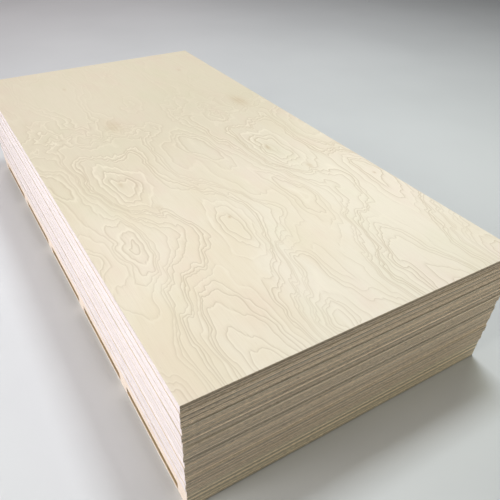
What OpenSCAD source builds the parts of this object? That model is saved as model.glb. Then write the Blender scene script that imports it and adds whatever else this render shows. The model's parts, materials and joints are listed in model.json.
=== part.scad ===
// A flush stack of birch plywood sheets lying on a battened base.
// Millimetres, +Z up. The origin is the centre of the stack's underside.
// The sheets' length and the grain of their faces run along Y.

/* [Sheets] */
// Width of one sheet, across the grain of its face
sheet_w = 1220; // [600:1:1550]
// Length of one sheet, along the grain of its face
sheet_l = 2440; // [1200:1:3100]
// Thickness of one sheet
sheet_t = 15; // [6:0.5:30]
// Number of sheets that lie on the base
sheet_count = 27; // [2:1:49]
// How far a sheet may lie out of line with the stack
slip = 1.5; // [0:0.1:5]

/* [Base] */
// Thickness of the cover board, which the lowest sheet lies on
cover_t = 24; // [9:1:40]
// Thickness of the deck board, which the cover board lies on
deck_t = 18; // [9:1:40]
// Thickness of the bottom board, which lies on the floor
bottom_t = 12; // [6:1:40]
// Height of a cross batten between the bottom board and the deck board
batten_h = 36; // [15:1:120]
// Width of a cross batten
batten_w = 66; // [40:1:140]
// Number of cross battens, the first and last flush with the base's ends
batten_count = 6; // [3:1:8]
// How far the base stands back from the sheets on every side
base_inset = 1.5; // [0:0.5:20]

/* [Hidden] */
// Size of the base in plan
base_w = sheet_w - 2 * base_inset;
base_l = sheet_l - 2 * base_inset;
// Distance from one batten to the next
batten_pitch = (base_l - batten_w) / (batten_count - 1);
// Heights of the undersides, each resting on the piece below it
batten_z = bottom_t;
deck_z = batten_z + batten_h;
cover_z = deck_z + deck_t;
stack_z = cover_z + cover_t;
// Turn from one pair of sheets to the next, which spreads their slips evenly
slip_turn = 137.5;

// Names of the repeated pieces
function sheet_name(i) = str("sheet_", i < 10 ? "0" : "", i);
function batten_name(i) = str("batten_", i);

// The two sheets of a pair lie out of line in opposite directions
function slip_angle(i) = slip_turn * floor((i - 1) / 2) + 180 * ((i - 1) % 2);

// A flat board that is centred on the Z axis with its underside at the height z
module board(w, l, t, z) {
    translate([-w / 2, -l / 2, z])
        cube([w, l, t]);
}

// The board under the battens
module bottom_board() {
    color("tan")
        board(base_w, base_l, bottom_t, 0);
}

// Batten i of the row that runs along Y, numbered from the -Y end
module batten(i) {
    color("burlywood")
        translate([0, (batten_w - base_l) / 2 + (i - 1) * batten_pitch, 0])
            board(base_w, batten_w, batten_h, batten_z);
}

// The board on the battens
module deck_board() {
    color("tan")
        board(base_w, base_l, deck_t, deck_z);
}

// The board that protects the lowest sheet
module cover_board() {
    color("burlywood")
        board(base_w, base_l, cover_t, cover_z);
}

// Sheet i of the stack, numbered from the bottom
module sheet(i) {
    color("cornsilk")
        translate(slip * [cos(slip_angle(i)), sin(slip_angle(i)), 0])
            board(sheet_w, sheet_l, sheet_t, stack_z + (i - 1) * sheet_t);
}

bottom_board();
for (i = [1 : batten_count])
    batten(i);
deck_board();
cover_board();
for (i = [1 : sheet_count])
    sheet(i);
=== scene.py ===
# %% [markdown]
# # A stack of birch plywood on a battened base
#
# This lesson dresses a stack of full-size birch plywood sheets. The construction arrives as a packed
# frame: every sheet, board and batten is there at its real size, as a plain block. The lesson models
# each piece again with its plies, sawn edges and eased arrises, and gives it wood that is worked out
# by nodes, so that nothing depends on a picture.

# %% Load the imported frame
import json
import math
import random

import bmesh
import bpy
from mathutils import Matrix, Vector

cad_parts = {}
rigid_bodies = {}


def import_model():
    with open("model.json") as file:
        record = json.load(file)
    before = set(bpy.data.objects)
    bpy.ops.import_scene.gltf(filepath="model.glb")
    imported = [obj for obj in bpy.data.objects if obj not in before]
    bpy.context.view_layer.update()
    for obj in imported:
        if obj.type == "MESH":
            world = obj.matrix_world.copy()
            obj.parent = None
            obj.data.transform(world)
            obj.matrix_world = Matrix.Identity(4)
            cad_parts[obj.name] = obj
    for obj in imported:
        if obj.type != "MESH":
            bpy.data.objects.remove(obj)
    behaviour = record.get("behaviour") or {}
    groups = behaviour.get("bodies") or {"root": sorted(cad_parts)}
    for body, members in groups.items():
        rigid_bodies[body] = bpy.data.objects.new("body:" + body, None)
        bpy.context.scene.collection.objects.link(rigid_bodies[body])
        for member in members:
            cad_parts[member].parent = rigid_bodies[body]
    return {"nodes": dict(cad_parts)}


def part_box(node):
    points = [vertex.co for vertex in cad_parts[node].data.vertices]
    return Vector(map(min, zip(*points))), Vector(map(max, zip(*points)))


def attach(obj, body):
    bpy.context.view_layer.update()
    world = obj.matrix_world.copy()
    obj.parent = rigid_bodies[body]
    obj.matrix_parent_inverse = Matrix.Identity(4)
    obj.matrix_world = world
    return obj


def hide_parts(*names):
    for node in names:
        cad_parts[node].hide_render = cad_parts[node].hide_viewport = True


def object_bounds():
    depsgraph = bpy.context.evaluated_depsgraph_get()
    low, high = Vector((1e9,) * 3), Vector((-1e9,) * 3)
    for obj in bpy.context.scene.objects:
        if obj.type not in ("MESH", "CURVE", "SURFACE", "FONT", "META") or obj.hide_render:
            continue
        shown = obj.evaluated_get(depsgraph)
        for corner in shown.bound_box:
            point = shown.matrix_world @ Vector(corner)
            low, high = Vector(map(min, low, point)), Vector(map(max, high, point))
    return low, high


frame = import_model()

cad_low, cad_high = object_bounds()
MM = 0.001
SHEETS = sorted(name for name in frame["nodes"] if name.startswith("sheet_"))
BATTENS = sorted(name for name in frame["nodes"] if name.startswith("batten_"))
print(f"{len(SHEETS)} sheets, {len(BATTENS)} battens, stack {[round(v, 3) for v in cad_high - cad_low]} m")

# %% [markdown]
# ## The camera
#
# A stack like this is looked at from a standing person's height, over one corner. The camera's place
# and direction are given as they would be measured on the floor, from the middle of the stack, and a
# small shift frames the near corner low in the picture, as a shift lens does.

# %% Place the camera
EYE = Vector((-0.8835, -1.9044, 1.4875))
LOOK = Vector((0.3910, 0.6614, -0.6400))
ROLL = math.radians(0.80)
LENS, SHIFT = 37.3, (0.041, 0.058)


def make_camera():
    """A camera at standing height that looks down over the stack's near corner."""
    data = bpy.data.cameras.new("stack_camera")
    data.sensor_width = 36.0
    data.lens = LENS
    data.shift_x, data.shift_y = SHIFT
    camera = bpy.data.objects.new("stack_camera", data)
    bpy.context.scene.collection.objects.link(camera)
    turn = LOOK.to_track_quat("-Z", "Y").to_matrix() @ Matrix.Rotation(ROLL, 3, "Z")
    camera.matrix_world = Matrix.Translation(EYE) @ turn.to_4x4()
    bpy.context.scene.camera = camera
    return camera


camera = make_camera()
print("camera", [round(v, 3) for v in camera.location], "lens", camera.data.lens)

# %% [markdown]
# ## Floor and light
#
# The floor is plain, pale and a little cool, so that the warm birch stands out. Six soft lamps light
# the stack, as in a studio. The main one hangs high over its right side and lights the top, and a
# weaker one beyond it lights the floor on the right. A wide low lamp at the left makes the long side as
# bright as the top, and one higher up, over that lamp's shoulder, softens the shade at the stack's
# foot. A lamp at the back brightens the far floor. The last stands low in front and is weak: the near
# end stays in its own shade, where the plies read best, but isn't black. Each lamp has a faint tint,
# because daylight and lamps mix in a hall. The world fills what is left.

# %% Lay the floor and hang the lamps
VIEW = bpy.context.scene.view_settings
VIEW.view_transform = "Standard"
FLOOR_SIDE = 40.0
# Each lamp's name, place and target, its width and height, its watts and its tint
LAMPS = (
    ("overhead_lamp", (1.3, 0.6, 5.2), (1.3, 0.6, 0), 1.2, 1.2, 146, (0.91, 0.96, 1.0)),
    ("right_lamp", (2.2, 0.2, 4.0), (1.8, 0.2, 0), 1.2, 1.2, 29, (0.95, 1.0, 0.83)),
    ("side_lamp", (-6.0, 0.0, 1.3), (0, 0, 0.3), 4.0, 1.6, 212, (0.94, 0.90, 1.0)),
    ("shoulder_lamp", (-4.5, -1.0, 3.5), (0, 0, 0.3), 2.0, 2.0, 115, (1.0, 0.98, 0.89)),
    ("back_lamp", (0.5, 6.0, 4.5), (0, 0.5, 0.3), 3.0, 2.0, 118, (1.0, 0.88, 0.89)),
    ("front_lamp", (3.0, -4.5, 1.5), (0.3, -0.5, 0.2), 3.0, 1.5, 45, (1.0, 0.96, 0.78)),
)
SKY_TINT, SKY_STRENGTH = (1.0, 0.98, 0.84), 0.02


def deselect_all():
    """Clears the selection, because an operator acts on everything that is selected."""
    for item in bpy.context.view_layer.objects:
        item.select_set(False)


def make_floor():
    """One flat square under the stack."""
    deselect_all()
    bpy.ops.mesh.primitive_plane_add(size=FLOOR_SIDE, location=(0, 0, 0))
    floor = bpy.context.object
    floor.name = "floor"
    return floor


def make_lamp(name, place, target, width, height, watts, tint):
    """A rectangular soft lamp at a place, turned towards a target."""
    data = bpy.data.lights.new(name, "AREA")
    data.shape = "RECTANGLE"
    data.size, data.size_y = width, height
    data.energy = watts
    data.color = tint
    lamp = bpy.data.objects.new(name, data)
    bpy.context.scene.collection.objects.link(lamp)
    lamp.location = place
    lamp.rotation_mode = "QUATERNION"
    lamp.rotation_quaternion = (Vector(target) - Vector(place)).to_track_quat("-Z", "Y")
    lamp.visible_camera = False
    return lamp


def make_world(tint, strength):
    """An even sky that fills the shade."""
    world = bpy.data.worlds.new("soft_room")
    world.use_nodes = True
    sky = world.node_tree.nodes["Background"]
    sky.inputs["Color"].default_value = (*tint, 1)
    sky.inputs["Strength"].default_value = strength
    bpy.context.scene.world = world


floor = make_floor()
for lamp in LAMPS:
    make_lamp(*lamp)
make_world(SKY_TINT, SKY_STRENGTH)
print("lamps", [lamp.name for lamp in bpy.data.lights])

# %% [markdown]
# ## A few words for building materials
#
# Every material below is a tree of nodes. These helpers let a line of the script read like the sum
# it stands for: each one adds a node, plugs its inputs in and gives back the output.

# %% Helpers for node trees
class Recipe:
    """Adds nodes to one tree. An input is a number, a colour, a vector or another node's output."""

    def __init__(self, tree):
        self.tree = tree

    def add(self, kind, settings=None, inputs=None):
        """A node of a kind, with its settings and its inputs filled in."""
        node = self.tree.nodes.new(kind)
        for name, value in (settings or {}).items():
            setattr(node, name, value)
        for key, value in (inputs or {}).items():
            self.plug(node.inputs[key], value)
        return node

    def plug(self, socket, value):
        """Links an output to a socket, or sets the socket's own value."""
        if isinstance(value, bpy.types.NodeSocket):
            self.tree.links.new(value, socket)
        else:
            socket.default_value = value

    def math(self, operation, *values, clamp=False):
        """One sum, such as ADD or SINE, on one, two or three values."""
        node = self.add("ShaderNodeMath", {"operation": operation, "use_clamp": clamp})
        for socket, value in zip(node.inputs, values):
            self.plug(socket, value)
        return node.outputs[0]

    def between(self, value, low, high, start=0.0, end=1.0):
        """Fades from start to end while the value goes from low to high."""
        inputs = {"Value": value, "From Min": low, "From Max": high, "To Min": start, "To Max": end}
        settings = {"interpolation_type": "SMOOTHSTEP"}
        return self.add("ShaderNodeMapRange", settings, inputs).outputs["Result"]

    def centred(self, value):
        """A value from 0 to 1, moved so that it swings evenly round 0."""
        return self.math("SUBTRACT", value, 0.5)

    def choose(self, which, first, second):
        """The first value where which is 0, and the second where it is 1."""
        inputs = {0: which, 2: first, 3: second}
        return self.add("ShaderNodeMix", {"data_type": "FLOAT"}, inputs).outputs[0]

    def mix(self, factor, first, second, blend="MIX"):
        """Mixes two colours."""
        node = self.add("ShaderNodeMix", {"data_type": "RGBA", "blend_type": blend})
        self.plug(node.inputs[0], factor)
        self.plug(node.inputs[6], first)
        self.plug(node.inputs[7], second)
        return node.outputs[2]

    def grey(self, value):
        """A grey of a lightness."""
        return self.add("ShaderNodeCombineColor", None, {0: value, 1: value, 2: value}).outputs[0]

    def split(self, vector):
        """The three numbers of a vector."""
        return self.add("ShaderNodeSeparateXYZ", inputs={0: vector}).outputs

    def join(self, x, y, z):
        """A vector from three numbers."""
        return self.add("ShaderNodeCombineXYZ", inputs={0: x, 1: y, 2: z}).outputs[0]

    def stretch(self, place, *factors):
        """A place times a factor for each axis. Noise that is read there comes out finer by as much."""
        inputs = {0: place, 1: factors}
        return self.add("ShaderNodeVectorMath", {"operation": "MULTIPLY"}, inputs).outputs[0]

    def noise(self, vector, scale=1.0, detail=2.0, roughness=0.5):
        """Smooth cloudy noise, from 0 to 1."""
        inputs = {"Vector": vector, "Scale": scale, "Detail": detail, "Roughness": roughness}
        return self.add("ShaderNodeTexNoise", None, inputs).outputs[0]

    def chance(self, *values):
        """A different number from 0 to 1 for each whole number or vector given."""
        if len(values) == 1:
            node = self.add("ShaderNodeTexWhiteNoise", {"noise_dimensions": "1D"}, {"W": values[0]})
        else:
            vector = self.join(*(list(values) + [0.0])[:3])
            node = self.add("ShaderNodeTexWhiteNoise", {"noise_dimensions": "3D"}, {"Vector": vector})
        return node.outputs["Value"]

    def place(self):
        """The point on the piece, in metres from the middle of the stack's underside."""
        return self.add("ShaderNodeTexCoord").outputs["Object"]

    def bump(self, height, distance):
        """Tilts the surface's shading by a height given in metres times distance."""
        inputs = {"Height": height, "Distance": distance, "Strength": 1.0}
        return self.add("ShaderNodeBump", None, inputs).outputs[0]


def new_wood(name):
    """A new material with an empty recipe and its shader."""
    material = bpy.data.materials.new(name)
    material.use_nodes = True
    shader = material.node_tree.nodes["Principled BSDF"]
    return material, Recipe(material.node_tree), shader


def linear(red, green, blue):
    """A colour picked on screen, 0 to 255, as the shader wants it."""
    steps = [value / 255 for value in (red, green, blue)]
    return tuple(s / 12.92 if s <= 0.04045 else ((s + 0.055) / 1.055) ** 2.4 for s in steps) + (1.0,)


print("helpers ready")

# %% [markdown]
# ## How a log becomes a face veneer
#
# The face of a birch sheet is one wide veneer, peeled from a turning log like paper from a roll. The
# knife follows the log round, so the same part of the trunk comes by again after every turn: the
# figure repeats across the sheet, once for each trip round the log. Where the trunk bulges, the knife
# cuts through the year rings like contour lines through a hill, and leaves nested rings and arches.
#
# The nodes do the same thing. A point on the sheet is wound back round the log, a height is read there
# from soft noise and from a few bulges, and every whole number of that height is a year ring. The
# fibres run along the sheet, so a second, finer noise pushes points along the grain only: lines that
# cross the grain come out jagged, and lines that follow it stay smooth. A third noise bends the rings
# a little, because no log is quite round.

# %% Describe the log
LOG_ROUND = 0.671
LOG_RADIUS = LOG_ROUND / (2 * math.pi)
# Each sheet comes from another part of the log: this far on, for each metre of height in the stack
LAYER_STEP = 31.0
# How far points slide along the grain, in waves and in a fine tremor, and how far rings bend across it
SLIDE, TREMOR, BEND = 0.11, 0.036, 0.065
# How fine each of them is: across the grain, along it and from sheet to sheet
WAVES_FINE, TREMOR_FINE, BEND_FINE = (24.0, 5.0, 1.0), (52.0, 14.0, 1.0), (10.0, 8.0, 1.0)
# How far the log leans for each metre that is peeled off it
LEAN = 0.09
# Rings that the trunk wanders through by itself, and how drawn out they are along it
WANDER_RINGS, WANDER_LONG = 7.0, 0.36
# Flanks where the trunk swells or thins: place across the sheet, swing, and rings climbed in the step
FLANKS = (
    (-0.490, 0.245, 2.1),
    (-0.190, 0.175, -1.9),
)
SWING_AT, SWING_LONG = -0.62, 0.27
FLANK_STEEP = 2.1
# The flanks fade from one place to another along the sheet, to a small part of their height
FLANK_END, FLANK_GONE, FLANK_LEFT = 0.00, 0.20, 0.22
# Bulges and hollows: place across and along the sheet, spread across and along, height in rings
BULGES = (
    (-0.471, -0.600, 0.032, 0.105, -3.3),
    (-0.108, -0.550, 0.060, 0.200, 4.2),
    (-0.335, -0.200, 0.060, 0.130, 2.6),
    (-0.005, -0.170, 0.050, 0.120, 1.2),
    (-0.175, 0.080, 0.034, 0.080, 1.8),
    (-0.357, -1.290, 0.080, 0.270, 6.8),
    (0.035, -0.960, 0.030, 0.110, 2.2),
    (-0.110, -1.180, 0.050, 0.080, -4.0),
)
# Ripples cross the grain in a belt beyond the middle of the sheet
RIPPLE_AT, RIPPLE_LONG, RIPPLE_TALL = 0.27, 0.24, 4.4
RIPPLES_ROUND, RIPPLES_ALONG = 7.0, 11.0
# Rings come in runs of lean and good years, so the lines gather and spread
YEARS_RUN, YEARS_SWAY = 3.3, 0.34
print("log", round(2 * LOG_RADIUS, 3), "m thick,", len(BULGES), "bulges")


# %% Peel the log: the ring height on a veneer
def hill_on_log(r, angle, along, across_at, along_at, wide, long):
    """A soft hill round a place on the log, 1 at its middle, that comes by again at every turn."""
    turn = r.math("COSINE", r.math("SUBTRACT", angle, across_at / LOG_RADIUS))
    inward = r.math("MULTIPLY", r.math("SUBTRACT", turn, 1.0), (LOG_RADIUS / wide) ** 2)
    past = r.math("DIVIDE", r.math("SUBTRACT", along, along_at), long * math.sqrt(2))
    return r.math("EXPONENT", r.math("SUBTRACT", inward, r.math("MULTIPLY", past, past)))


def belt_on_log(r, along, along_at, long):
    """A soft belt round the log at a place along it, 1 in its middle."""
    past = r.math("DIVIDE", r.math("SUBTRACT", along, along_at), long)
    return r.math("EXPONENT", r.math("MULTIPLY", r.math("MULTIPLY", past, past), -1.0))


def push(r, place, size, fine, detail=1.0):
    """How far soft noise pushes a point, up to half a size either way."""
    return r.math("MULTIPLY", r.centred(r.noise(r.stretch(place, *fine), detail=detail)), size)


def ring_height_group(name):
    """A node group that gives the ring height at a point of a peeled veneer."""
    tree = bpy.data.node_groups.new(name, "ShaderNodeTree")
    tree.interface.new_socket("Place", in_out="INPUT", socket_type="NodeSocketVector")
    tree.interface.new_socket("Rings", in_out="OUTPUT", socket_type="NodeSocketFloat")
    r = Recipe(tree)
    entry = tree.nodes.new("NodeGroupInput")
    x, y, z = r.split(entry.outputs[0])
    layer = r.math("MULTIPLY", r.math("SUBTRACT", z, cad_high.z), LAYER_STEP)
    # The fibres: points slide along the grain only
    on_sheet = r.join(x, y, layer)
    slide = push(r, on_sheet, SLIDE, WAVES_FINE, 1.6)
    tremor = push(r, on_sheet, TREMOR, TREMOR_FINE)
    along = r.math("ADD", r.math("ADD", y, slide), tremor)
    # The wound log, which isn't quite round and leans a little from turn to turn
    bend = push(r, r.join(x, along, layer), BEND, BEND_FINE)
    angle = r.math("DIVIDE", r.math("ADD", x, bend), LOG_RADIUS)
    around = r.math("MULTIPLY", r.math("COSINE", angle), LOG_RADIUS)
    across = r.math("MULTIPLY", r.math("SINE", angle), LOG_RADIUS)
    leant = r.math("ADD", around, r.math("MULTIPLY", x, LEAN))
    on_log = r.join(leant, across, r.math("MULTIPLY_ADD", along, WANDER_LONG, layer))
    height = r.math("MULTIPLY", r.centred(r.noise(on_log, 6.0, 1.0, 0.4)), WANDER_RINGS)
    # The flanks run along the log and swing round it together
    swing = belt_on_log(r, along, SWING_AT, SWING_LONG)
    reach = r.between(along, FLANK_END, FLANK_GONE, 1.0, FLANK_LEFT)
    for flank_at, flank_swing, climb in FLANKS:
        flank = r.math("MULTIPLY_ADD", swing, flank_swing / LOG_RADIUS, flank_at / LOG_RADIUS)
        side = r.math("SINE", r.math("SUBTRACT", angle, flank))
        step = r.math("TANH", r.math("MULTIPLY", side, FLANK_STEEP))
        height = r.math("MULTIPLY_ADD", r.math("MULTIPLY", step, reach), climb, height)
    for *where, tall in BULGES:
        height = r.math("MULTIPLY_ADD", hill_on_log(r, angle, along, *where), tall, height)
    ripple_at = r.join(r.math("MULTIPLY", around, RIPPLES_ROUND), r.math("MULTIPLY", across, RIPPLES_ROUND),
                       r.math("MULTIPLY_ADD", along, RIPPLES_ALONG, layer))
    ripple = r.centred(r.noise(ripple_at, detail=1.0))
    ripple = r.math("MULTIPLY", ripple, belt_on_log(r, along, RIPPLE_AT, RIPPLE_LONG))
    height = r.math("MULTIPLY_ADD", ripple, RIPPLE_TALL, height)
    sway = r.math("SINE", r.math("MULTIPLY", height, 2 * math.pi / YEARS_RUN))
    rings = r.math("MULTIPLY_ADD", sway, YEARS_SWAY, height)
    leave = tree.nodes.new("NodeGroupOutput")
    tree.links.new(rings, leave.inputs[0])
    return tree


ring_height = ring_height_group("ring_height")
print("ring height uses", len(ring_height.nodes), "nodes")

# %% [markdown]
# ## Ring lines
#
# A year ring ends in a thin, denser line. To draw that line at an even width, the recipe reads the
# ring height at the point, then a short step further across and a short step further along. That gives
# the slope, which turns the height left to the next ring into millimetres. A pale band lies behind
# each line, where the next year's first wood is looser. The lines are finer towards the foot of the
# trunk and fade towards its top, and no two rings are equally clear.

# %% Draw the ring lines
STEP = 1.5 * MM
# Where the height climbs by fewer rings a metre than this, lines get no wider and fade away
FLATTEST = 20.0
# The dark line: a soft rise before the ring's end, its share of the dark, and the thin line itself
RISE_WIDE, RISE_DARK = 12 * MM, 0.36
BEFORE_FULL, BEFORE_GONE = 0.8 * MM, 4.2 * MM
AFTER_FULL, AFTER_GONE = 0.4 * MM, 2.4 * MM
# The pale first wood of the next year
FIRST_STARTS, FIRST_FULL, FIRST_GONE = 1.5 * MM, 3 * MM, 8.5 * MM
# The least that a ring shows, and how fine the clearer and fainter patches of the figure are
FAINTEST_RING = 0.4
PATCHES_FINE = (1.4, 1.1, 1.0)


def read_rings(r, place, group):
    """The distance past a ring's end and the distance left to the next, the ring's number, the slope."""
    def height_at(offset):
        moved = r.add("ShaderNodeVectorMath", {"operation": "ADD"}, {0: place, 1: offset}).outputs[0]
        return r.add("ShaderNodeGroup", {"node_tree": group}, {0: moved}).outputs[0]

    here = height_at((0, 0, 0))
    slope_x = r.math("SUBTRACT", height_at((STEP, 0, 0)), here)
    slope_y = r.math("SUBTRACT", height_at((0, STEP, 0)), here)
    steep = r.math("SQRT", r.math("ADD", r.math("MULTIPLY", slope_x, slope_x),
                                  r.math("MULTIPLY", slope_y, slope_y)))
    slope = r.math("DIVIDE", steep, STEP)
    climb = r.math("MAXIMUM", slope, FLATTEST)
    part = r.math("FRACT", here)
    past = r.math("DIVIDE", part, climb)
    left = r.math("DIVIDE", r.math("SUBTRACT", 1.0, part), climb)
    return past, left, r.math("FLOOR", here), slope


def draw_rings(r, past, left, slope):
    """How much dark late wood and how much pale first wood shows at a point, from 0 to 1."""
    rise = r.between(left, 0.0, RISE_WIDE, RISE_DARK, 0.0)
    before = r.between(left, BEFORE_FULL, BEFORE_GONE, 1.0, 0.0)
    after = r.between(past, AFTER_FULL, AFTER_GONE, 1.0, 0.0)
    dark = r.math("MAXIMUM", rise, r.math("MAXIMUM", before, after))
    late = r.math("MULTIPLY", dark, r.between(slope, FLATTEST / 5, FLATTEST))
    starts = r.between(past, FIRST_STARTS, FIRST_FULL)
    early = r.math("MULTIPLY", starts, r.between(past, FIRST_FULL, FIRST_GONE, 1.0, 0.0))
    return late, early


def figure_strength(r, place, ring, full):
    """How clear the figure is: it changes over the sheet, from ring to ring and up the trunk."""
    x, y = r.split(place)[:2]
    clear = r.between(r.noise(r.stretch(place, *PATCHES_FINE), 2.2, 2.0), 0.30, 0.66, 0.60, 1.0)
    each = r.math("MULTIPLY_ADD", r.chance(ring), 1 - FAINTEST_RING, FAINTEST_RING)
    calm = r.between(r.math("MULTIPLY_ADD", x, 0.30, y), 0.10, 0.70, 1.0, 0.20)
    return r.math("MULTIPLY", r.math("MULTIPLY", clear, each), r.math("MULTIPLY", calm, full))


print("ring lines reach", round((BEFORE_GONE + AFTER_GONE) / MM, 1), "mm across")

# %% [markdown]
# ## The tone of a sheet
#
# Under its figure a birch sheet has a tone that drifts. It has pale and warm clouds drawn out along the
# grain, it is plainer away from the foot of the trunk and a little darker and yellower there, which is
# partly its tone and partly a painted falloff of light, and faint blushes, some pinker and some greener, lie
# over it. Each is a noise read at a place that is stretched along the grain, because everything in wood is
# longer than it is wide.

# %% Lay the broad tone
CLOUDS_FINE, BLUSHES_FINE = (3.2, 1.3, 9.0), (7.0, 3.6, 11.0)
PINK_TINT, GREEN_TINT, BLUSH_SHOWS = linear(255, 249, 252), linear(251, 254, 250), 0.55
# How much the far end takes of its darker, yellower tone, which is partly tone and partly a painted falloff
# of light
FAR_TONE_AND_SHADE_SHOWS = 0.88


def broad_tone(r, place, pale, warm, far_tone_and_shade):
    """The drifting tone of a sheet, from pale and warm clouds, the far tone with its painted falloff of
    light, and the blushes.
    """
    x, y = r.split(place)[:2]
    cloud = r.between(r.noise(r.stretch(place, *CLOUDS_FINE), 1.6, 3.0, 0.55), 0.32, 0.68)
    drift = r.between(r.math("MULTIPLY_ADD", y, -0.35, x), -0.7, 0.9, 0.25, -0.35)
    warmth = r.math("ADD", r.math("MULTIPLY", cloud, 0.55), drift, clamp=True)
    tone = r.mix(warmth, pale, warm)
    # Darker and yellower towards the far end: partly tone, partly a painted falloff of light
    far = r.between(r.math("MULTIPLY_ADD", x, -0.15, y), -0.9, 0.4, 0.0, FAR_TONE_AND_SHADE_SHOWS)
    tone = r.mix(far, tone, far_tone_and_shade)
    blush = r.noise(r.stretch(place, *BLUSHES_FINE), 1.0, 2.0)
    pinker = r.mix(1.0, tone, PINK_TINT, "MULTIPLY")
    tone = r.mix(r.between(blush, 0.50, 0.72, 0.0, BLUSH_SHOWS), tone, pinker)
    greener = r.mix(1.0, tone, GREEN_TINT, "MULTIPLY")
    return r.mix(r.between(blush, 0.28, 0.50, BLUSH_SHOWS, 0.0), tone, greener)


print("clouds are", round(CLOUDS_FINE[0] / CLOUDS_FINE[1], 1), "times as long as they are wide")

# %% [markdown]
# ## Stains and pin knots
#
# Where a twig once left the trunk the wood is stained, and as it is a place on the log, the stain comes
# by again at every turn. Pin knots are smaller: rare dark dots with a warm ring round them. They come
# from cells scattered over the sheet, of which only a few are allowed a knot.

# %% Stain the veneer and set its pin knots
# Stains: place across and along the sheet, spread across and along, strength
STAINS = (
    (-0.194, 0.330, 0.022, 0.050, 0.42),
    (-0.300, -0.410, 0.009, 0.014, 0.30),
    (-0.108, -0.585, 0.004, 0.006, 0.60),
    (-0.358, -0.190, 0.007, 0.018, 0.40),
    (-0.255, 0.900, 0.006, 0.012, 0.30),
)
STAIN_TONE = linear(186, 158, 112)
KNOT_TONE = linear(120, 88, 58)
# About five cells to the metre could hold a knot, and those that draw more than the last value do
KNOT_CELLS, KNOTS_FINE, KNOT_RARE = 5.0, (1.0, 0.75, 40.0), 0.86


def add_stains(r, tone, place, band):
    """Stains, made ragged by the fibre bands that they soak into."""
    x, y = r.split(place)[:2]
    angle = r.math("DIVIDE", x, LOG_RADIUS)
    soak = r.between(band, 0.30, 0.65, 0.45, 1.0)
    for *where, dark in STAINS:
        ragged = r.math("MULTIPLY", hill_on_log(r, angle, y, *where), soak)
        tone = r.mix(r.math("MULTIPLY", ragged, dark), tone, STAIN_TONE)
    return tone


def add_pin_knots(r, tone, place, line):
    """Rare pin knots, each with a warm ring."""
    inputs = {"Vector": r.stretch(place, *KNOTS_FINE), "Scale": KNOT_CELLS, "Randomness": 1.0}
    knots = r.add("ShaderNodeTexVoronoi", None, inputs)
    rare = r.math("GREATER_THAN", r.split(knots.outputs["Color"])[0], KNOT_RARE)
    away = knots.outputs["Distance"]
    tone = r.mix(r.math("MULTIPLY", r.between(away, 0.015, 0.045, 0.25, 0.0), rare), tone, line)
    return r.mix(r.math("MULTIPLY", r.between(away, 0.005, 0.014, 0.7, 0.0), rare), tone, KNOT_TONE)


print(len(STAINS), "stains at each turn of the log")

# %% [markdown]
# ## The face veneer
#
# All of it comes together here. Over the broad tone go fine fibres, the pale and dark bands of the
# rings, short ray flecks along the grain, the stains and the knots. Sanded late wood is a little
# smoother than the fibres round it, and it stands a few hundredths of a millimetre proud. Packing
# board gets the same recipe with browner tones.

# %% Mix the face veneer
FIRST_WOOD, FIRST_SHOWS = linear(254, 245, 226), 1.15
# How fine fibres, their bands and ray flecks are, across, along and from sheet to sheet
FIBRES_FINE, BANDS_FINE, FLECKS_FINE = (900.0, 14.0, 7.0), (130.0, 3.0, 1.0), (420.0, 46.0, 1.0)
FIBRE_SHOWS, BAND_SHOWS, FLECK_SHOWS = 0.10, 0.04, 0.16
# Roughness: the least, what a fibre adds and what late wood takes away
FACE_ROUGH, FIBRE_ROUGH, LATE_SMOOTH = 0.46, 0.16, 0.08
FACE_RELIEF = 0.06 * MM


def face_veneer(name, pale, warm, far_tone_and_shade, line, line_strength):
    """Peeled veneer with its ring lines, fibres, flecks, stains and pin knots."""
    material, r, shader = new_wood(name)
    place = r.place()
    past, left, ring, slope = read_rings(r, place, ring_height)
    # The rings are drawn finer towards the foot of the trunk
    loose = r.between(r.split(place)[1], -1.1, 0.3, 1.0, 1.9)
    late, early = draw_rings(r, r.math("DIVIDE", past, loose), r.math("DIVIDE", left, loose), slope)
    strength = figure_strength(r, place, ring, line_strength)
    late_shows = r.math("MULTIPLY", late, strength)
    early_shows = r.math("MULTIPLY", early, r.math("MULTIPLY", strength, FIRST_SHOWS), clamp=True)
    fibre = r.noise(r.stretch(place, *FIBRES_FINE), 1.0, 3.0, 0.6)
    band = r.noise(r.stretch(place, *BANDS_FINE), 1.0, 2.0, 0.5)
    fleck = r.between(r.noise(r.stretch(place, *FLECKS_FINE), 1.0, 1.0), 0.70, 0.80)
    tone = broad_tone(r, place, pale, warm, far_tone_and_shade)
    tone = r.mix(r.math("MULTIPLY", r.between(fibre, 0.35, 0.8), FIBRE_SHOWS), tone, line)
    tone = r.mix(r.math("MULTIPLY", r.between(band, 0.45, 0.75), BAND_SHOWS), tone, line)
    tone = r.mix(early_shows, tone, FIRST_WOOD)
    tone = r.mix(late_shows, tone, line)
    tone = r.mix(r.math("MULTIPLY", fleck, FLECK_SHOWS), tone, line)
    tone = add_stains(r, tone, place, band)
    tone = add_pin_knots(r, tone, place, line)
    r.plug(shader.inputs["Base Color"], tone)
    rough = r.math("MULTIPLY_ADD", fibre, FIBRE_ROUGH, FACE_ROUGH)
    r.plug(shader.inputs["Roughness"], r.math("MULTIPLY_ADD", late_shows, -LATE_SMOOTH, rough))
    shader.inputs["Specular IOR Level"].default_value = 0.35
    relief = r.math("MULTIPLY_ADD", late, 0.6, r.math("MULTIPLY", fibre, 0.5))
    r.plug(shader.inputs["Normal"], r.bump(relief, FACE_RELIEF))
    return material


birch_face = face_veneer(
    "birch_face", linear(248, 239, 221), linear(240, 225, 197), linear(218, 208, 185),
    linear(181, 161, 129), 0.47)
packing_face = face_veneer(
    "packing_face", linear(214, 190, 150), linear(196, 164, 120), linear(206, 180, 138),
    linear(140, 106, 70), 0.55)
print("face veneers", birch_face.name, packing_face.name)

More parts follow.
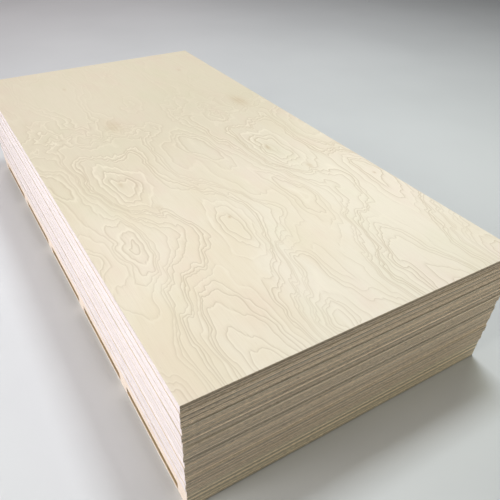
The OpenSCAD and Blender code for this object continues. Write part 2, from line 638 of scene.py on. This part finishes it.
# %% [markdown]
# ## Which way an edge runs
#
# A sawn edge shows every ply. Plies that run along the edge show their long grain, which is pale and
# streaky. Plies that run towards the edge show their end grain, which drinks light and looks darker.
# The two swap on the other pair of sides, so the recipe asks which way the surface faces. Inside a
# groove the surface faces up or down, and there the nearest side of the stack decides.

# %% Find the side, and colour the plies
# How fine the streaks of long grain and the pores of end grain are: along the edge, up it and by ply
STREAKS_FINE, PORES_FINE = (9.0, 1400.0, 1.0), (700.0, 900.0, 1.0)


def find_side(r):
    """1 on the long sides and 0 on the ends, the way along the edge there, and the height."""
    x, y, z = r.split(r.place())
    facing = r.split(r.add("ShaderNodeTexCoord").outputs["Normal"])
    lean = r.math("SUBTRACT", r.math("ABSOLUTE", facing[0]), r.math("ABSOLUTE", facing[1]))
    from_side = r.math("SUBTRACT", cad_high.x, r.math("ABSOLUTE", x))
    from_end = r.math("SUBTRACT", cad_high.y, r.math("ABSOLUTE", y))
    nearest = r.math("MULTIPLY_ADD", r.math("LESS_THAN", from_side, from_end), 0.4, -0.2)
    long_side = r.math("GREATER_THAN", r.math("ADD", lean, nearest), 0.0)
    return long_side, r.choose(long_side, x, y), z


def colour_plies(r, on_edge, ply, long_side, side_tones, end_tones):
    """The plies' long grain and end grain, their palest tone, the pores, and where end grain shows."""
    # Outer plies and every second ply run along the board
    cross = r.math("MODULO", ply, 2.0)
    shows_end = r.math("ABSOLUTE", r.math("SUBTRACT", cross, r.math("SUBTRACT", 1.0, long_side)))
    streak = r.noise(r.stretch(on_edge, *STREAKS_FINE), 1.0, 2.0, 0.6)
    pore = r.noise(r.stretch(on_edge, *PORES_FINE), 1.0, 2.0, 0.7)
    tones = [r.mix(long_side, end, side) for end, side in zip(end_tones, side_tones)]
    long_tone = r.mix(r.between(streak, 0.3, 0.75), tones[0], tones[1])
    end_tone = r.mix(r.between(pore, 0.35, 0.7), tones[2], tones[3])
    return r.mix(shows_end, long_tone, end_tone), tones[0], pore, shows_end


print("pores are drawn about", round(1 / PORES_FINE[0] / MM, 1), "mm apart")

# %% [markdown]
# ## No two plies are alike
#
# Each ply has a tone of its own, plies of one log lie together in threes, and each sheet differs a
# little from the next. The tone of a ply also changes slowly along the edge, because veneers are laid up
# from several pieces. Where the saw tore the end grain it left short dark and light dashes.

# %% Make the plies unlike
# How much lightness swings from ply to ply, from log to log, along a ply and from sheet to sheet
OWN_TONE, LOG_TONE, SLOW_TONE, SHEET_TONE = 0.68, 0.72, 0.60, 0.16
LOG_PLIES = 3.0
TORN_FINE, TORN_END, TORN_SIDE = (70.0, 340.0, 1.0), 1.9, 0.25


def unlike_plies(r, run, z, board, up, key, long_side):
    """How much lighter or darker than its fellows a ply is at a point."""
    slow_at = r.join(r.math("MULTIPLY", run, 2.2), r.math("MULTIPLY", key, 3.7), long_side)
    slow = r.centred(r.noise(slow_at, 1.0, 2.0))
    own = r.centred(r.chance(key, long_side))
    trio = r.math("FLOOR", r.math("DIVIDE", up, LOG_PLIES))
    log = r.centred(r.chance(board, trio, long_side))
    sheet = r.math("MULTIPLY", r.centred(r.chance(board, 5.0)), SHEET_TONE)
    torn = r.centred(r.noise(r.stretch(r.join(run, z, board), *TORN_FINE), 1.0, 3.0, 0.7))
    torn = r.math("MULTIPLY", torn, r.between(long_side, 0.0, 1.0, TORN_END, TORN_SIDE))
    unlike = r.math("ADD", r.math("MULTIPLY", own, OWN_TONE), r.math("MULTIPLY", log, LOG_TONE))
    unlike = r.math("ADD", unlike, r.math("MULTIPLY_ADD", slow, SLOW_TONE, sheet))
    return r.math("ADD", torn, unlike)


print("a ply's own tone swings by", OWN_TONE / 2, "either way")

# %% [markdown]
# ## Joints between sheets
#
# A joint is where dust and shade collect, and its darkness is dust and painted shade. On the ends every
# joint shows, a few far more than the rest, and below a wide joint the arris gets a painted highlight. On
# the long sides only a few show, and those fade away from the near end. The joints are numbered from the
# bottom up, and each number draws its own chance.

# %% Open the joints
# From a joint: how far it is fully dark, how far its dark reaches, and what a wide one adds
JOINT_CORE, JOINT_HALF = 0.3 * MM, 1.0 * MM
WIDER_END, WIDER_SIDE = 0.8 * MM, 0.1 * MM
# How far down the painted highlight on an arris reaches
ARRIS_FULL, ARRIS_GONE = 3.4 * MM, 4.2 * MM


def open_joints(r, level, board_t, run, long_side, depth):
    """How strong the painted highlight on the arris below a joint is and how dark the joint is, from dust
    and painted shade, at a point, from 0 to 1.
    """
    number = r.math("ROUND", level)
    from_top = r.math("MULTIPLY", r.math("SUBTRACT", 1.0, r.math("FRACT", level)), board_t)
    from_joint = r.math("MINIMUM", r.math("SUBTRACT", board_t, from_top), from_top)
    gape = r.chance(number, 2.0)
    wide = r.between(gape, 0.50, 0.75)
    patchy_at = r.join(r.math("MULTIPLY", run, 3.0), r.math("MULTIPLY", number, 5.1), long_side)
    patchy = r.noise(patchy_at, 1.0, 3.0)
    arris = r.between(from_top, ARRIS_FULL, ARRIS_GONE, 1.0, 0.0)
    arris = r.math("MULTIPLY", arris, r.between(patchy, 0.40, 0.55, 0.25, 1.0))
    bright = r.math("MULTIPLY", arris, r.math("MULTIPLY", r.between(gape, 0.40, 0.60), depth))
    on_end = r.between(wide, 0.0, 1.0, 0.38, 0.95)
    on_end = r.math("MULTIPLY", on_end, r.between(patchy, 0.35, 0.60, 0.55, 1.0))
    on_side = r.between(r.chance(number, 7.0), 0.74, 0.80)
    on_side = r.math("MULTIPLY", on_side, r.between(patchy, 0.44, 0.56))
    on_side = r.math("MULTIPLY", on_side, r.between(run, -1.1, 0.4, 0.75, 0.15))
    wider = r.between(long_side, 0.0, 1.0, WIDER_END, WIDER_SIDE)
    reach = r.math("MULTIPLY_ADD", wide, wider, JOINT_HALF)
    dark = r.math("MULTIPLY", r.between(from_joint, JOINT_CORE, reach, 1.0, 0.0),
                  r.choose(long_side, on_end, on_side))
    return bright, dark


print("joints reach", JOINT_HALF / MM, "mm up and down, wide ones", (JOINT_HALF + WIDER_END) / MM, "mm")

# %% [markdown]
# ## The sawn edge
#
# The edge is mixed layer by layer: the plies, what makes them unlike, a belt of darker plies, which on the
# bottom board is a painted contact shadow, painted highlights on the arrises, the thin dark glue lines, the
# joints with their dust and painted shade, and last short dark dashes of painted shade where core veneers
# leave gaps. Saw marks stand upright across the plies. The long sides are sawn along the face grain and come
# out cleaner, so most of this shows only faintly there.

# %% Mix the sawn ply edge
# How much of the ends' contrast is left on the long sides
SIDE_DEPTH = 0.15
# How much the painted highlight on arrises, the glue lines and the painted shade of core gaps show
ARRIS_HIGHLIGHT_SHOWS, GLUE_SHOWS, GAP_SHOWS = 0.85, 0.6, 0.7
# A glue line's dark core and faint edge, as parts of a ply
GLUE_CORE, GLUE_GONE = 0.03, 0.13
# The joints' colour on the long sides, for dust and painted shade
SIDE_DUST_AND_SHADE = linear(122, 114, 116)
# How fine core gaps and saw marks are, along the edge and up it
CORE_GAPS_FINE, SAW_FINE = (26.0, 520.0, 1.0), (420.0, 18.0, 1.0)
# Roughness: the least, and what a pore adds
EDGE_ROUGH, PORE_ROUGH = 0.62, 0.2
EDGE_RELIEF = 0.04 * MM
# From one board's plies to the next, so that no two plies share a number
PLY_NUMBERS = 13.0


def ply_edge(name, base_z, board_t, plies, side_tones, end_tones, glue, dark_belt):
    """The sawn side of pressed boards, which start at base_z and repeat every board_t. side_tones and
    end_tones are a light and a dark tone of long grain, then of end grain, for the two kinds of side.
    dark_belt is the middle, the half height and the strength of a belt of darker plies on the ends, which on
    the bottom board is a painted contact shadow along the floor."""
    material, r, shader = new_wood(name)
    long_side, run, z = find_side(r)
    depth = r.between(long_side, 0.0, 1.0, 1.0, SIDE_DEPTH)
    level = r.math("DIVIDE", r.math("SUBTRACT", z, base_z), board_t)
    board = r.math("FLOOR", level)
    up = r.math("MULTIPLY", r.math("FRACT", level), float(plies))
    ply = r.math("FLOOR", up)
    key = r.math("MULTIPLY_ADD", board, PLY_NUMBERS, ply)
    on_edge = r.join(run, z, key)
    tone, palest, pore, shows_end = colour_plies(r, on_edge, ply, long_side, side_tones, end_tones)
    unlike = unlike_plies(r, run, z, board, up, key, long_side)
    tone = r.mix(1.0, tone, r.grey(r.math("MULTIPLY_ADD", unlike, depth, 1.0)), "MULTIPLY")
    belt_z, belt_half, belt_dark = dark_belt
    from_belt = r.math("ABSOLUTE", r.math("SUBTRACT", z, belt_z))
    belt = r.between(from_belt, belt_half * 0.6, belt_half * 1.1, belt_dark, 0.0)
    tone = r.mix(r.math("MULTIPLY", belt, depth), tone, glue)
    bright, dark = open_joints(r, level, board_t, run, long_side, depth)
    # A painted highlight on the arris below a wide joint
    tone = r.mix(r.math("MULTIPLY", bright, ARRIS_HIGHLIGHT_SHOWS), tone, palest)
    in_ply = r.math("FRACT", up)
    from_glue = r.math("MINIMUM", in_ply, r.math("SUBTRACT", 1.0, in_ply))
    glue_line = r.between(from_glue, GLUE_CORE, GLUE_GONE, 1.0, 0.0)
    tone = r.mix(r.math("MULTIPLY", glue_line, r.math("MULTIPLY", depth, GLUE_SHOWS)), tone, glue)
    # The joints: dust and painted shade
    tone = r.mix(dark, tone, r.mix(long_side, glue, SIDE_DUST_AND_SHADE))
    # Short dark dashes of painted shade where core veneers leave gaps
    gap = r.between(r.noise(r.stretch(on_edge, *CORE_GAPS_FINE), 1.0, 1.0), 0.71, 0.76)
    tone = r.mix(r.math("MULTIPLY", r.math("MULTIPLY", gap, depth), GAP_SHOWS), tone, glue)
    r.plug(shader.inputs["Base Color"], tone)
    r.plug(shader.inputs["Roughness"], r.math("MULTIPLY_ADD", pore, PORE_ROUGH, EDGE_ROUGH))
    shader.inputs["Specular IOR Level"].default_value = 0.25
    tooth = r.noise(r.stretch(r.join(run, z, long_side), *SAW_FINE), 1.0, 1.0)
    grit = r.math("MULTIPLY_ADD", r.math("MULTIPLY", pore, shows_end), 0.7, r.math("MULTIPLY", tooth, 0.3))
    relief = r.math("MULTIPLY", r.math("SUBTRACT", grit, r.math("MULTIPLY", glue_line, 0.5)), depth)
    r.plug(shader.inputs["Normal"], r.bump(relief, EDGE_RELIEF))
    return material


sheet_low, sheet_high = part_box(SHEETS[0])
SHEET_T = sheet_high.z - sheet_low.z
SHEET_PLIES = 11
birch_edge = ply_edge(
    "birch_edge", sheet_low.z, SHEET_T, SHEET_PLIES,
    (linear(239, 232, 230), linear(235, 227, 224), linear(236, 228, 225), linear(230, 219, 214)),
    (linear(252, 240, 222), linear(242, 223, 198), linear(226, 203, 176), linear(194, 169, 141)),
    linear(78, 62, 44), (cad_high.z - SHEET_T / 2, SHEET_T / 2, 0.30))


def packing_edge(node, plies, dark_at, dark_half=6.5 * MM, dark=0.32):
    """The sawn edge of one board of the base, or of the battens, which all lie at one height. dark_at is
    where its darker plies lie, from 0 at its underside to 1 at its top, and dark_half how far they reach up
    and down from there. On the bottom board that dark belt is a painted contact shadow along the floor."""
    low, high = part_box(node)
    board_t = high.z - low.z
    return ply_edge(
        f"{node}_edge", low.z, board_t, plies,
        (linear(246, 235, 222), linear(240, 226, 208), linear(238, 223, 205), linear(228, 208, 184)),
        (linear(253, 242, 220), linear(248, 233, 206), linear(243, 226, 197), linear(228, 209, 178)),
        linear(74, 58, 40), (low.z + board_t * dark_at, dark_half, dark))


print("plies in a sheet", SHEET_PLIES, "each", round(SHEET_T / SHEET_PLIES / MM, 2), "mm")

# %% [markdown]
# ## Selecting by place
#
# The shapes are made with the same tools a person would use: add a block, cut it, pull faces in, bevel
# edges. Where a person would click a face, the script picks it by where it is and which way it faces.

# %% Helpers for modelling by hand
def start_block(name, low, high):
    """A block between two corners, with its place in its mesh, left in edit mode with all selected."""
    deselect_all()
    bpy.ops.mesh.primitive_cube_add(size=1, location=(low + high) / 2, scale=high - low)
    block = bpy.context.object
    block.name = name
    block.data.name = name
    bpy.ops.object.transform_apply(location=True, rotation=True, scale=True)
    edit(block)
    return block


def edit(piece):
    """Opens a piece in edit mode."""
    deselect_all()
    piece.select_set(True)
    bpy.context.view_layer.objects.active = piece
    bpy.ops.object.mode_set(mode="EDIT")
    bpy.ops.mesh.select_all(action="SELECT")


def leave_edit():
    """Closes edit mode."""
    bpy.ops.object.mode_set(mode="OBJECT")


def pick(piece, faces=None, edges=None, verts=None):
    """Selects what passes a test, in the mode that fits it, and gives back how much was selected."""
    bpy.ops.mesh.select_all(action="DESELECT")
    bpy.context.tool_settings.mesh_select_mode = (verts is not None, edges is not None, faces is not None)
    mesh = bmesh.from_edit_mesh(piece.data)
    items, test = (mesh.faces, faces) if faces else (mesh.edges, edges) if edges else (mesh.verts, verts)
    chosen = [item for item in items if test(item)]
    for item in chosen:
        item.select_set(True)
    mesh.select_flush_mode()
    bmesh.update_edit_mesh(piece.data)
    return len(chosen)


def cut(places, axis):
    """Cuts straight through the selected faces at places along an axis, 0 for X, 1 for Y and 2 for Z."""
    normal = [0.0, 0.0, 0.0]
    normal[axis] = 1.0
    for place in places:
        point = [0.0, 0.0, 0.0]
        point[axis] = place
        bpy.ops.mesh.bisect(plane_co=point, plane_no=normal)
        bpy.ops.mesh.select_all(action="SELECT")


def upright(face):
    """True for a face of a side."""
    return abs(face.normal.z) < 0.3


def flat(face):
    """True for a face of the top or the underside."""
    return abs(face.normal.z) > 0.95


print("helpers for modelling ready")

# %% [markdown]
# ## One sheet
#
# A real sheet is pressed from thin veneers and then sawn to size. The saw leaves the end-grain plies a
# hair lower than the long-grain ones, because they tear out, and the sander breaks the sharp corners.
# So the block is cut at every glue line, every second ply is pushed in a little, and the arrises are
# bevelled. A few extra cuts across the sides let the edge wander by a few hundredths of a millimetre.

# %% Model a pressed sheet
# How far a sheet stays inside its place, to leave room for its wandering sides
MARGIN = 0.35 * MM
# How far the sander breaks the long arrises and the four upright corners
EASE = 0.40 * MM
CORNER = 1.2 * MM
# How far cross plies lie back, and how far the saw wanders
RECESS = 0.12 * MM
WANDER = 0.04 * MM


def press_sheet(name, low, high, plies, spacing, seed, foot=EASE):
    """A pressed sheet between two corners, with its plies, recessed cross plies and eased arrises.
    spacing is about how far apart its sides are cut across, so that they can wander, and foot is how
    far its lower arrises are worn back."""
    draw = random.Random(seed)
    inset = Vector((MARGIN, MARGIN, 0))
    low, high = low + inset, high - inset
    sheet = start_block(name, low, high)
    pick(sheet, edges=lambda e: abs(e.verts[0].co.z - e.verts[1].co.z) > (high.z - low.z) / 2)
    bpy.ops.mesh.bevel(offset=CORNER, segments=2, affect="EDGES")
    bpy.ops.mesh.select_all(action="SELECT")
    for axis in (0, 1):
        count = round((high[axis] - low[axis]) / spacing)
        pace = (high[axis] - low[axis]) / count
        cut([low[axis] + pace * (i + draw.uniform(-0.3, 0.3)) for i in range(1, count)], axis)
    ply = (high.z - low.z) / plies
    cut([low.z + ply * i for i in range(1, plies)], 2)

    def in_cross_ply(face):
        return upright(face) and int((face.calc_center_median().z - low.z) / ply) % 2 == 1

    pick(sheet, faces=in_cross_ply)
    bpy.ops.mesh.extrude_region_shrink_fatten(TRANSFORM_OT_shrink_fatten={"value": -RECESS})

    def on_arris(edge, level):
        kinds = [flat(face) for face in edge.link_faces]
        return len(kinds) == 2 and kinds[0] != kinds[1] and abs(edge.verts[0].co.z - level) < ply / 4

    for level, ease in ((high.z, EASE), (low.z, foot)):
        pick(sheet, edges=lambda e: on_arris(e, level))
        bpy.ops.mesh.bevel(offset=ease, segments=2, affect="EDGES")
    leave_edit()
    return sheet


def roughen(sheet, low_z, high_z, seed):
    """Lets the sawn sides wander a little, and leaves the flat faces flat."""
    edit(sheet)
    inner = EASE * 1.2
    pick(sheet, verts=lambda v: low_z + inner < v.co.z < high_z - inner)
    bpy.ops.transform.vertex_random(offset=WANDER, uniform=0.0, normal=0.0, seed=seed)
    leave_edit()


# A gap is cut into the faces within this reach of it, a little over the spacing of the cuts
GAP_REACH = 0.12


def open_core_gap(sheet, ply_low, ply_high, side, at, wide, deep):
    """Opens one gap where two pieces of a core veneer don't meet. side is the axis and sign it faces."""
    axis, sign = side
    run = 1 - axis
    edit(sheet)

    def here(face):
        centre = face.calc_center_median()
        near = abs(centre[run] - at) < GAP_REACH
        return face.normal[axis] * sign > 0.8 and ply_low < centre.z < ply_high and near

    if pick(sheet, faces=here):
        for place in (at - wide / 2, at + wide / 2):
            pick(sheet, faces=here)
            cut([place], run)
        pick(sheet, faces=lambda f: here(f) and abs(f.calc_center_median()[run] - at) < wide / 2)
        bpy.ops.mesh.extrude_region_shrink_fatten(TRANSFORM_OT_shrink_fatten={"value": -deep})
    leave_edit()


def finish_sheet(sheet, face_wood, edge_wood):
    """Gives the flat faces the veneer and everything else the sawn edge."""
    sheet.data.materials.clear()
    sheet.data.materials.append(face_wood)
    sheet.data.materials.append(edge_wood)
    levels = [v.co.z for v in sheet.data.vertices]
    bottom, top = min(levels), max(levels)
    for face in sheet.data.polygons:
        outside = min(face.center.z - bottom, top - face.center.z) < EASE / 2
        face.material_index = 0 if flat(face) and outside else 1


first_low, first_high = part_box(SHEETS[0])
pattern = press_sheet("birch_sheet", first_low, first_high, SHEET_PLIES, spacing=0.11, seed=11)
print("one sheet has", len(pattern.data.polygons), "faces")

# %% [markdown]
# ## The stack
#
# The one finished sheet is copied for every sheet of the stack. Each copy gets a mesh of its own and
# slides to the place that the frame gives it. Then it gets its own small faults: another wander of the
# saw and a few core gaps where veneers didn't meet.

# %% Stack the sheets
GAPS_PER_SHEET = 4
# The least and most that a gap is wide and deep, in millimetres, and how far it keeps off a corner
GAP_WIDE, GAP_DEEP = (3, 9), (4, 9)
OFF_CORNER = 0.15
SIDES = ((0, -1), (0, 1), (1, -1), (1, 1))


def copy_to(pattern, pattern_node, node, name):
    """A copy of a pattern piece, with a mesh of its own, moved from one node's place to another's."""
    piece = pattern.copy()
    piece.data = pattern.data.copy()
    piece.name = piece.data.name = name
    bpy.context.scene.collection.objects.link(piece)
    old_low, old_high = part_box(pattern_node)
    low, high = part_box(node)
    edit(piece)
    bpy.ops.transform.translate(value=(low + high) / 2 - (old_low + old_high) / 2)
    leave_edit()
    return piece


def hand_over(piece, node):
    """Lets a finished piece ride in the frame in place of its node."""
    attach(piece, "root")
    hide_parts(node)
    return piece


def lay_sheet(node, number):
    """A copy of the pattern sheet at a node's place, with faults of its own."""
    low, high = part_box(node)
    sheet = copy_to(pattern, SHEETS[0], node, f"birch_{node}")
    roughen(sheet, low.z, high.z, number)
    draw = random.Random(100 + number)
    ply = SHEET_T / SHEET_PLIES
    for _ in range(GAPS_PER_SHEET):
        side = draw.choice(SIDES)
        run = 1 - side[0]
        at = draw.uniform(low[run] + OFF_CORNER, high[run] - OFF_CORNER)
        bottom = low.z + ply * draw.randrange(1, SHEET_PLIES - 1)
        wide = draw.uniform(*GAP_WIDE) * MM
        deep = draw.uniform(*GAP_DEEP) * MM
        open_core_gap(sheet, bottom, bottom + ply, side, at, wide, deep)
    finish_sheet(sheet, birch_face, birch_edge)
    return hand_over(sheet, node)


stack = [lay_sheet(node, number) for number, node in enumerate(SHEETS, 1)]
bpy.data.objects.remove(pattern)
print(len(stack), "sheets,", sum(len(s.data.polygons) for s in stack), "faces")

# %% [markdown]
# ## The base
#
# The base is packing-grade board: fewer, thicker plies, browner wood. Its three boards and its cross battens
# are pressed the same way as a sheet. The lower arris of the bottom board is worn back further, because it
# is the one that is dragged over floors, and it leaves a thin line of shade there, which a painted contact
# shadow on its lowest plies deepens. The battens are sawn from thick laminated board, so their plies show on
# every side, and one pattern batten is copied for all of them.

# %% Lay the boards of the base
# Each board's plies, how far its lower arris is worn back, and where its darker plies lie, how far they
# reach and how dark they are. On the bottom board this dark belt is a painted contact shadow along the
# floor.
BASE_BOARDS = (
    ("bottom_board", 5, 2.2 * MM, (0.0, 4.2 * MM, 0.85)),
    ("deck_board", 7, EASE, (0.78, 6.5 * MM, 0.32)),
    ("cover_board", 9, EASE, (0.84, 6.5 * MM, 0.32)),
)
BATTEN_PLIES, BATTEN_DARK_AT = 13, 0.70


def lay_board(node, plies, foot, dark_plies_and_shade, seed):
    """A board of the base, pressed like a sheet from fewer, thicker plies."""
    low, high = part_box(node)
    board = press_sheet(f"packing_{node}", low, high, plies, spacing=0.16, seed=seed, foot=foot)
    roughen(board, low.z, high.z, seed)
    finish_sheet(board, packing_face, packing_edge(node, plies, *dark_plies_and_shade))
    return hand_over(board, node)


boards = [lay_board(*board, 201 + i) for i, board in enumerate(BASE_BOARDS)]
print("boards", [board.name for board in boards])

# %% Saw and lay the battens
batten_edge = packing_edge(BATTENS[0], BATTEN_PLIES, BATTEN_DARK_AT)


def lay_batten(node, number):
    """A copy of the pattern batten at a node's place."""
    low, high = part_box(node)
    batten = copy_to(pattern_batten, BATTENS[0], node, f"laminated_{node}")
    roughen(batten, low.z, high.z, 300 + number)
    finish_sheet(batten, packing_face, batten_edge)
    return hand_over(batten, node)


pattern_batten = press_sheet("laminated_batten", *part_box(BATTENS[0]), BATTEN_PLIES, spacing=0.09, seed=300)
battens = [lay_batten(node, number) for number, node in enumerate(BATTENS, 1)]
bpy.data.objects.remove(pattern_batten)
print(len(battens), "battens")

# %% [markdown]
# ## The floor's finish
#
# A cast or painted floor is never one flat grey: it has broad soft clouds and a faint grit.

# %% Finish the floor
FLOOR_RELIEF = 0.1 * MM


def pale_floor(name):
    """A pale matt floor with soft clouds."""
    material, r, shader = new_wood(name)
    place = r.place()
    cloud = r.noise(place, 0.8, 3.0)
    grit = r.noise(place, 260.0, 2.0)
    tone = r.mix(r.between(cloud, 0.3, 0.7), linear(215, 218, 220), linear(220, 223, 225))
    r.plug(shader.inputs["Base Color"], tone)
    r.plug(shader.inputs["Roughness"], r.math("MULTIPLY_ADD", grit, 0.1, 0.5))
    r.plug(shader.inputs["Normal"], r.bump(grit, FLOOR_RELIEF))
    return material


floor.data.materials.append(pale_floor("pale_floor"))
print("floor finished")
